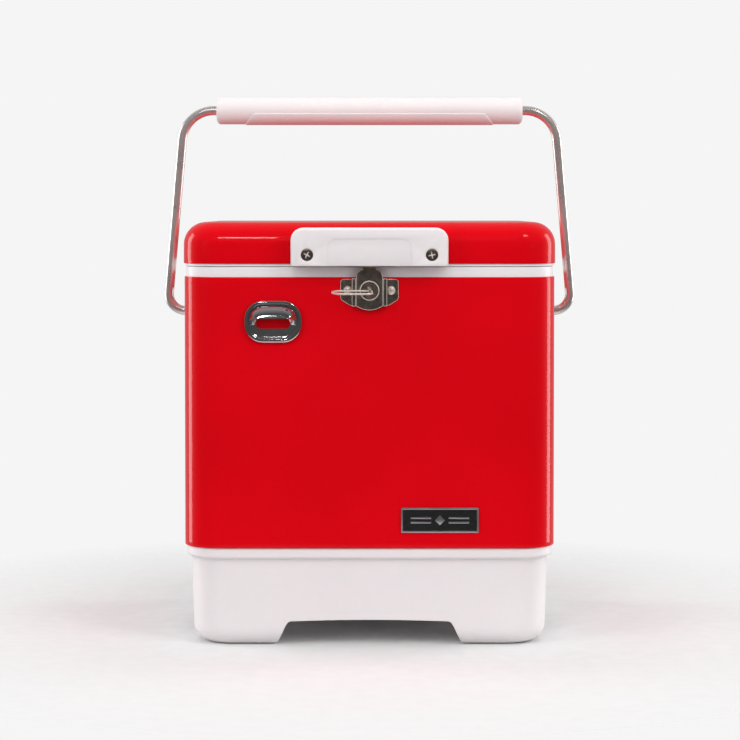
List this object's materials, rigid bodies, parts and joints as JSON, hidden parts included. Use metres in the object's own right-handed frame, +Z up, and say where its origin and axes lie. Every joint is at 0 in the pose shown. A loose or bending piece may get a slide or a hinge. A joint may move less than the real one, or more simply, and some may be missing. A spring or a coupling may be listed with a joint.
{
  "type": "vintage style steel-belted drinks cooler chest",
  "caption": "Steel-belted picnic cooler chest: foam-filled tub, hinged lid with lift handle, swinging bail handle, turn-lock hasp and wall bottle opener.",
  "frame": {"origin": "on the floor under the middle of the whole object's box, bail upright and lid closed", "axes": "+Z up, front face with the latch towards -Y, +X to the right when facing the front"},
  "size_m": [0.4014, 0.3274, 0.5145],
  "materials": {
    "base_plastic": "satin",
    "belt_paint": "gloss",
    "rivet_steel": "satin",
    "liner_plastic": "satin",
    "foam": "matte",
    "chrome_plate": "polished",
    "badge_silver": "satin",
    "badge_black": "gloss",
    "dark_nickel": "gloss",
    "screw_nickel": "polished",
    "hinge_steel": "satin",
    "handle_plastic": "satin",
    "antique_screw": "satin",
    "bush_nylon": "satin",
    "bail_chrome": "polished",
    "grip_plastic": "satin"
  },
  "bodies": {
    "chest": {"base_shell": "base_plastic", "steel_belt": "belt_paint", "belt_rivets": "rivet_steel", "inner_liner": "liner_plastic", "body_foam": "foam", "bottle_opener": "chrome_plate", "opener_studs": "screw_nickel", "badge_plate": "badge_silver", "badge_field": "badge_black", "badge_ornament": "badge_silver", "catch_plate": "dark_nickel", "catch_screws": "screw_nickel", "pivot_plate_left": "hinge_steel", "pivot_plate_right": "hinge_steel", "pivot_plate_screws": "screw_nickel", "hinge_body_leaf_left": "hinge_steel", "hinge_body_leaf_right": "hinge_steel", "hinge_body_screws": "screw_nickel"},
    "lid": {"lid_shell": "belt_paint", "lid_liner": "liner_plastic", "lid_foam": "foam", "lift_handle": "handle_plastic", "lift_handle_screws": "antique_screw", "hasp_mount": "dark_nickel", "hasp_mount_rivets": "rivet_steel", "hinge_lid_leaf_left": "hinge_steel", "hinge_lid_leaf_right": "hinge_steel", "hinge_lid_screws": "screw_nickel", "hinge_pin_left": "hinge_steel", "hinge_pin_right": "hinge_steel", "hasp_pin": "hinge_steel"},
    "hasp": {"hasp_flap": "dark_nickel"},
    "knob": {"turn_knob": "dark_nickel", "lock_tongue": "dark_nickel"},
    "ring": {"pull_ring": "screw_nickel"},
    "bushes": {"bail_bush_left": "bush_nylon", "bail_bush_right": "bush_nylon"},
    "bail": {"bail_rod": "bail_chrome", "bail_retainers": "hinge_steel", "grip_shell": "grip_plastic", "grip_insert": "grip_plastic"}
  },
  "joints": [
    {"name": "lid_hinge", "type": "hinge", "parent": "chest", "child": "lid", "pos_m": [0, 0.159, 0.364], "axis": [1, 0, 0], "range_deg": [-95, 0]},
    {"name": "bail_carry", "type": "hinge", "parent": "chest", "child": "bushes", "pos_m": [0, 0.009, 0.3057], "axis": [1, 0, 0], "range_deg": [-124, 0]},
    {"name": "bail_swing", "type": "hinge", "parent": "bushes", "child": "bail", "pos_m": [0, 0.009, 0.3057], "axis": [-1, 0, 0], "range_deg": [-124, 124]},
    {"name": "hasp_swing", "type": "hinge", "parent": "lid", "child": "hasp", "pos_m": [0, -0.136, 0.3535], "axis": [-1, 0, 0], "range_deg": [0, 75]},
    {"name": "lock_turn", "type": "hinge", "parent": "hasp", "child": "knob", "pos_m": [0, -0.139, 0.3303], "axis": [0, -1, 0], "range_deg": [0, 90]},
    {"name": "ring_swing", "type": "hinge", "parent": "knob", "child": "ring", "pos_m": [0, -0.142, 0.3303], "axis": [1, 0, 0], "range_deg": [-60, 80]}
  ],
  "couplings": [
    {"joint": "bail_carry", "follows": "lid_hinge", "ratio": 1.3}
  ]
}
